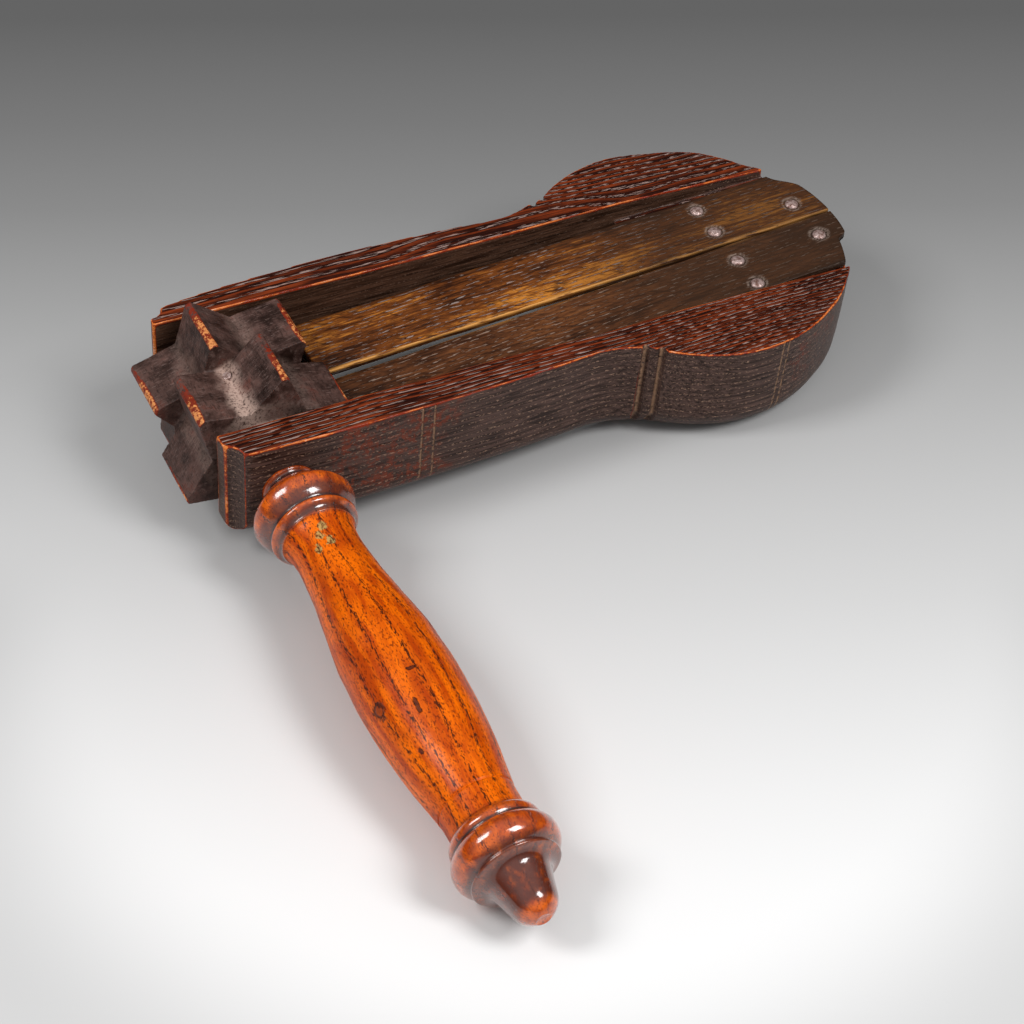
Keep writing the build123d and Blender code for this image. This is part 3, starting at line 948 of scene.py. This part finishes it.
END_RUNS = (
    ((130.8, 11.35), (131.1, 11.0), (131.4, 11.2)),
    ((131.4, 11.2), (134.0, 11.1), (137.5, 11.1), (139.6, 11.2)),
    ((139.6, 11.2), (140.2, 12.2), (141.2, 13.1), (142.4, 13.45), (143.4, 13.2), (144.0, 12.75)),
    ((144.0, 12.75), (144.6, 13.6), (145.8, 14.7), (147.3, 15.4), (148.8, 15.55), (150.4, 15.3),
     (151.9, 14.5), (153.0, 13.3), (153.4, 12.7)),
    ((153.4, 12.7), (153.7, 12.4), (154.0, 12.45), (154.2, 12.9)),
    ((154.2, 12.9), (154.5, 13.05), (154.9, 12.95), (155.1, 12.6)),
    ((155.1, 12.6), (155.5, 11.3), (156.2, 10.0), (157.2, 9.1), (158.4, 8.65), (159.4, 8.35)),
    ((159.4, 8.35), (161.5, 7.7), (163.3, 7.2), (165.0, 6.75), (166.7, 6.1), (168.2, 5.0),
     (169.4, 3.6), (170.0, 2.6), (170.2, 2.2)),
    ((170.2, 2.2), (169.9, 1.6), (169.8, 0.02)),
)
HANDLE_AROUND = 144
GRIP_STEP = 0.5

# From the drum's middle to the near cheek's outer face at the spindle
NEAR_CHEEK = 36.4


def through(run, step):
    """A smooth curve through a run's points, at even steps."""
    points = np.array(run, float)
    padded = np.vstack([2 * points[0] - points[1], points, 2 * points[-1] - points[-2]])
    curve = []
    for a, b, c, d in zip(padded, padded[1:], padded[2:], padded[3:]):
        count = max(2, int(np.linalg.norm(c - b) / step))
        second, third = 2 * a - 5 * b + 4 * c - d, 3 * b - a - 3 * c + d
        for t in np.linspace(0, 1, count, endpoint=False):
            curve.append(0.5 * (2 * b + (c - a) * t + second * t**2 + third * t**3))
    curve.append(points[-1])
    return curve


def handle_profile():
    far_end = -(SPINDLE_END + NEAR_CHEEK)
    profile = [np.array(point) for point in ((far_end, 0.02), (far_end, 7.1), (far_end + 0.8, 7.9))]
    for run in (*NECK_RUNS, GRIP_RUN, *END_RUNS):
        profile += through(run, GRIP_STEP)[:-1]
    profile.append(np.array(END_RUNS[-1][-1]))
    return np.array(profile)


# Marks on the grip: (distance from the near cheek, degrees round from +X over the top), and half
# their lengths along X, Y and Z
KNOT = (97.1, 152.0)
KNOT_SIZE = (2.0, 2.9, 2.6)
EYE_SIZE = (1.0, 1.7, 1.4)
NICKS = (
    ((103.7, 111.5), (0.7, 3.0, 0.9)),
    ((115.5, 134.5), (0.7, 1.3, 0.7)),
    ((92.3, 97.5), (1.9, 0.7, 0.8)),
)
GILT = ((29.7, 97.5), (32.6, 108.0), (36.9, 121.0), (36.0, 97.0))
GILT_SIZE = (1.5, 1.9, 1.3)

# Bands of painted shade: (start and end from the near cheek, share of shade)
SHADED_BANDS = (
    (1.6, 6.2, 0.9), (15.6, 21.2, 0.75), (21.8, 26.0, 0.9), (138.2, 141.6, 0.7), (151.4, 156.6, 0.8),
)
PORE_LINES = 12
PORE_LINE_TURN = 0.07
PORE_LINE_RADIUS = 13.0

# Distances from the near cheek between which the grip is plain, or less glossy than its ends
PLAIN_GRIP = (23.8, 141.0)
DULL_GRIP = (25.1, 139.7)


def on_handle(mark):
    """Place of a mark on the handle's skin."""
    distance, turn = mark
    profile = handle_profile()
    skin = profile[profile[:, 0] > 1.0]
    radius = np.interp(distance, skin[:, 0], skin[:, 1])
    turn = math.radians(turn)
    return radius * math.cos(turn), -NEAR_CHEEK - distance, radius * math.sin(turn)


def spot(place, mark, size, ragged):
    """Mask of a spot round a mark on the handle, with a ragged rim."""
    offset = place.vector("ADD", tuple(-value for value in on_handle(mark)))
    offset = offset.vector("MULTIPLY", tuple(1 / value for value in size))
    away = offset.length() + (ragged - 0.5) * 1.6
    return away.span(0.75, 1.05, 1.0, 0.0)


def handle_material(name, spec, coat):
    """Wood of the grip or, with more gloss, of its turned ends."""
    shader = new_material(name)
    place = shader.place()
    bent = place.warped((0.05, 0.015, 0.05), (7.0, 0.0, 7.0))
    figure = bent.grain("Y", 34.0, 2.6, detail=3.0, roughness=0.55)
    dashes = bent.grain("Y", 2.0, 0.32, detail=1.0)
    speckle = place.grain("Y", 1.3, 0.42, roughness=0.6)
    broad = place.cloud((0.10, 0.05, 0.10))
    grimy = place.noise(0.35, detail=3.0)
    ragged = place.noise(0.75, detail=3.0)
    groove, crest, turned, finial = shader.attributes("groove", "crest", "turned", "finial")
    wood = shader.mix(figure.span(0.32, 0.66), (0.470, 0.054, 0.0004), (0.860, 0.152, 0.0006))
    wood = wood.tint(broad.span(0.52, 0.72, 0.0, 0.45), (0.340, 0.030, 0.0015))
    wood = wood.tint(speckle.span(0.53, 0.66, 0.0, 0.80), (0.130, 0.014, 0.0008))

    # Rows of dark pores along the grip, where the growth rings meet its skin
    angle = shader.math("ARCTAN2", bent.part("X"), bent.part("Z"))
    pitch = 2 * math.pi / PORE_LINES
    row = ((angle + (PORE_LINE_TURN + 4.5 * pitch)) / pitch).fraction()
    away = (row - 0.5).absolute() * (pitch * PORE_LINE_RADIUS)
    pores = (dashes - away.span(0.05, 1.0, 0.47, 0.68)).span(0.0, 0.05)
    wood = wood.tint(pores * 0.90, (0.035, 0.008, 0.003))

    # Turned ends: redder, with a dark finial, rubbed crests and painted shade in the grooves
    wood = wood.tint(turned * grimy.span(0.34, 0.62, 0.15, 0.65), (0.230, 0.030, 0.005))
    wood = wood.tint(finial * grimy.span(0.20, 0.52, 0.5, 0.95), (0.085, 0.016, 0.008))
    wood = wood.tint(crest * ragged.span(0.40, 0.60) * 0.60, (0.720, 0.125, 0.008))
    # Painted shade in the grooves and the listed bands
    wood = wood.tint(groove * grimy.span(0.16, 0.42) * 0.94, (0.032, 0.013, 0.012))

    # A knot with a lighter eye, nicks, and flecks of old gilt
    eye = spot(place, KNOT, EYE_SIZE, ragged)
    wood = wood.tint(eye * 0.8, (0.300, 0.045, 0.006))
    marks = [spot(place, nick, size, ragged) for nick, size in NICKS]
    marks = shader.most((spot(place, KNOT, KNOT_SIZE, ragged) * (1.0 - eye), *marks))
    wood = wood.tint(marks * 0.85, (0.045, 0.010, 0.006))
    gilt = shader.most([spot(place, fleck, GILT_SIZE, ragged) for fleck in GILT])
    gilt_colour = shader.mix(speckle.span(0.42, 0.60), (0.480, 0.330, 0.110), (0.070, 0.035, 0.012))
    wood = wood.tint(gilt * 0.85, gilt_colour)

    roughness = broad.span(0.3, 0.7, 0.30, 0.42).tint(turned, (0.13, 0.13, 0.13))
    normal = shader.sunk(pores, 0.10, shader.bump(speckle, 0.035))
    normal = shader.sunk(marks, 0.50, normal)
    return shader.finish(
        wood, roughness, normal, Specular_IOR_Level=spec, Coat_Weight=coat, Coat_Roughness=0.10
    )


def build_handle():
    profile = handle_profile()
    distance, radius = profile.T
    angles = np.linspace(0, 2 * math.pi, HANDLE_AROUND, endpoint=False)
    ring = np.stack([np.cos(angles), np.zeros_like(angles), np.sin(angles)], 1)
    points = (radius[:, None, None] * ring[None]).reshape(-1, 3)
    at = np.repeat(distance, HANDLE_AROUND)
    points[:, 1] = -NEAR_CHEEK - at
    faces = tube_faces(len(profile), HANDLE_AROUND)
    faces += [ring_face(0, HANDLE_AROUND), ring_face(len(profile) - 1, HANDLE_AROUND)[::-1]]

    # Turned by hand: a little uneven outside the head
    outside = ease(0.5, 3.0, at)
    away = points.copy()
    away[:, 1] = 0
    away /= np.maximum(np.linalg.norm(away, axis=1), 0.01)[:, None]
    wobble = 0.10 * lattice_noise(points * (1, 0.4, 1), 14.0, 31)
    wobble = wobble + 0.04 * lattice_noise(points, 4.0, 32)
    points += away * (wobble * outside * ease(0.5, 3.0, np.repeat(radius, HANDLE_AROUND)))[:, None]
    piece = piece_from("turned_handle", points, faces)

    # Crests and grooves are where the profile stands proud of its own mean, or below it
    mesh = piece.data
    turned = 1 - bump_zone(at, *PLAIN_GRIP)
    order = np.argsort(distance)
    nearby = [np.interp(distance + shift, distance[order], radius[order])
              for shift in np.linspace(-2.6, 2.6, 27)]
    proud = np.repeat(radius - np.mean(nearby, 0), HANDLE_AROUND)
    tip = ease(154.8, 156.0, at)
    # Painted shade where the profile dips below its own mean, and in the listed bands
    groove_shade = ease(0.15, 0.65, -proud) * turned * (1 - tip)
    for start, end, share in SHADED_BANDS:
        groove_shade = np.maximum(groove_shade, share * bump_zone(at, start, end))
    crest = np.maximum(ease(0.10, 0.60, proud) * (1 - tip), ease(166.5, 168.8, at))
    store(mesh, "turned", turned)
    store(mesh, "groove", groove_shade * outside)
    store(mesh, "crest", crest * turned * outside)
    store(mesh, "finial", tip * (1 - ease(166.0, 168.5, at)))
    mesh.materials.append(handle_material("polished_wood", 0.12, 0.05))
    mesh.materials.append(handle_material("glossy_wood", 0.50, 1.0))
    along = -NEAR_CHEEK - from_axle(read(mesh.polygons, "center", 3))[:, 1]
    glossy = (along < DULL_GRIP[0]) | (along > DULL_GRIP[1])
    mesh.polygons.foreach_set("material_index", glossy.astype(np.int32))
    return piece


# Build the pieces and tie them to the frame

BLEND_REACH = 6.0

head = build_head()
cog = build_cog()
handle = build_handle()
iron = iron_material()
reeds = {side: Reed(side) for side in ("rear", "front")}
reed_looks = {
    "rear": reed_material(
        "golden_slat", (0.520, 0.190, 0.026), (0.160, 0.044, 0.007), (0.026, 0.007, 0.002),
        (0.300, 0.230, 0.205), 0.0
    ),
    "front": reed_material(
        "brown_slat", (0.180, 0.064, 0.019), (0.098, 0.032, 0.010), (0.024, 0.008, 0.003),
        (0.270, 0.185, 0.140), 40.0
    ),
}
for number, (side, reed) in enumerate(reeds.items()):
    slat = build_reed(reed, reed_looks[side], 50 + 10 * number)
    start = in_metres(reed.flex + BLEND_REACH * reed.along)
    end = in_metres(reed.flex - BLEND_REACH * reed.along)
    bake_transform(slat, "head", side + "_reed", start=tuple(start), end=tuple(end))
    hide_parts(side + "_reed_root", side + "_reed_blade")
    nails = build_nails(reed, iron, 70 + number)
    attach(nails, "head")
    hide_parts(side + "_reed_nails")
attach(head, "head")
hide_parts("frame")
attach(cog, "spindle")
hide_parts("cog")
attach(handle, "spindle")
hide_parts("handle")
pin = frame["nodes"]["cog_pin"]
pin.data.materials.clear()
pin.data.materials.append(iron)


# Floor, touching the drum, the handle's end bead and the tail

def rest_plane():
    """Upward normal and a point of the plane that the object lies on."""
    sets = [points_of(piece.data) for piece in (cog, handle, head)]
    normal = np.array((-0.05, 0.07, 1.0))
    for _ in range(12):
        feet = [points[np.argmin(points @ normal)] for points in sets]
        normal = np.cross(feet[1] - feet[0], feet[2] - feet[0])
        normal = normal / np.linalg.norm(normal) * np.sign(normal[2])
    return normal, in_metres(feet[0])


# Camera, in the frame of the swing axis
CAMERA_PLACE = (-176.924, -463.614, 458.268)
CAMERA_RIGHT = np.array((0.89130, -0.44706, 0.07565))
CAMERA_DOWN = np.array((-0.27142, -0.65972, -0.70079))
CAMERA_AHEAD = np.array((0.36320, 0.60408, -0.70935))
FOCAL_PIXELS = 2142.85
PICTURE_PIXELS = 1024
SENSOR = 36.0

# The stage's right, ahead and up, and the place on the floor that the lights face
up, foot = rest_plane()
ahead = CAMERA_AHEAD - up * (CAMERA_AHEAD @ up)
ahead = ahead / np.linalg.norm(ahead)
right = np.cross(ahead, up)
stand = np.stack([right, ahead, up], 1)
stage_middle = in_metres((70.0, -60.0, 0.0))
stage_middle = stage_middle - up * ((stage_middle - foot) @ up)


def matrix_of(axes, place):
    """World matrix from three axes, as columns, and a place in metres."""
    matrix = Matrix(axes.tolist()).to_4x4()
    matrix.translation = Vector(place)
    return matrix


camera_data = bpy.data.cameras.new("camera")
camera_data.sensor_width = SENSOR
camera_data.lens = SENSOR * FOCAL_PIXELS / PICTURE_PIXELS
camera_data.clip_start = 0.01
camera = new_object("camera", camera_data)
camera_axes = np.stack([CAMERA_RIGHT, -CAMERA_DOWN, -CAMERA_AHEAD], 1)
camera.matrix_world = matrix_of(camera_axes, in_metres(CAMERA_PLACE))
bpy.context.scene.camera = camera


# Greys of the floor, a painted falloff of light from the front of the stage to its back: (share of the way,
# grey)
FLOOR_FRONT = -0.19
FLOOR_BACK = 0.33
FLOOR_GREYS = ((0.02, 0.85), (0.09, 0.82), (0.15, 0.765), (0.30, 0.60), (0.48, 0.435), (0.59, 0.34),
               (0.70, 0.25), (0.81, 0.195), (0.97, 0.138))
FLOOR_HALF = 4.0


def floor_material():
    """Pale floor with painted light falloff: it darkens with distance from the front of the stage, and
    painted shade darkens its front corners.
    """
    shader = new_material("floor")
    place = shader.node("ShaderNodeTexCoord", {}, "Object")
    depth = place.part("Y")
    share = shader.node("ShaderNodeMapRange", {0: depth, 1: FLOOR_FRONT, 2: FLOOR_BACK}, 0)
    ramp = shader.tree.nodes.new("ShaderNodeValToRGB")
    shader.feed(ramp.inputs[0], share)
    while len(ramp.color_ramp.elements) < len(FLOOR_GREYS):
        ramp.color_ramp.elements.new(0.5)
    for element, (position, grey) in zip(ramp.color_ramp.elements, FLOOR_GREYS):
        element.position = position
        element.color = (grey, grey, grey, 1)
    before = shader.math("MINIMUM", depth + 0.035, 0.0)
    away = shader.joined(place.part("X"), before, 0.0).length()
    # Painted shade in the floor's front corners
    corner_shade = away.span(0.130, 0.195) * depth.span(-0.06, 0.0, 0.30, 0.0)
    grey = Value(shader, ramp.outputs[0]).tint(corner_shade, (0.0, 0.0, 0.0))
    return shader.finish(grey, 0.9, Specular_IOR_Level=0.0)


floor_mesh = bpy.data.meshes.new("floor")
floor_corners = [(x * FLOOR_HALF, y * FLOOR_HALF, 0) for x, y in ((-1, -1), (1, -1), (1, 1), (-1, 1))]
floor_mesh.from_pydata(floor_corners, [], [(0, 1, 2, 3)])
floor_mesh.materials.append(floor_material())
floor = new_object("floor", floor_mesh)
floor.matrix_world = matrix_of(stand, stage_middle)


# Light: a soft box at each side, a little in front, and a dim surround that is brighter overhead

BOX_SIZE = (0.34, 0.46)
BOX_DISTANCE = 1.15
BRIGHT_WAY = (0.0, -0.35, 0.94)


def soft_box(name, towards, power):
    """A lamp that faces the middle of the stage, from a direction given as right, ahead and up."""
    data = bpy.data.lights.new(name, "AREA")
    data.shape = "RECTANGLE"
    data.size, data.size_y = BOX_SIZE
    data.energy = power
    lamp = new_object(name, data)
    towards = np.array(towards) / np.linalg.norm(towards)
    away = stand @ towards * BOX_DISTANCE
    turn = Vector(-away).to_track_quat("-Z", "Y")
    lamp.matrix_world = Matrix.Translation(Vector(stage_middle + away)) @ turn.to_matrix().to_4x4()


def surround():
    """World light that grows from the back of the stage to overhead and the front."""
    shader = Shader(bpy.data.worlds.new("surround"))
    direction = shader.node("ShaderNodeTexCoord", {}, "Generated")
    lean = direction.vector("DOT_PRODUCT", tuple(stand @ np.array(BRIGHT_WAY)), output="Value")
    background = shader.tree.nodes["Background"]
    shader.feed(background.inputs["Color"], (1, 1, 1))
    shader.feed(background.inputs["Strength"], lean.span(0.15, 0.95, 0.05, 0.58))
    return shader.owner


soft_box("left_box", (-0.62, -0.18, 0.75), 5.7)
soft_box("right_box", (0.52, -0.35, 0.77), 7.6)
bpy.context.scene.world = surround()
bpy.context.scene.view_settings.view_transform = "Standard"
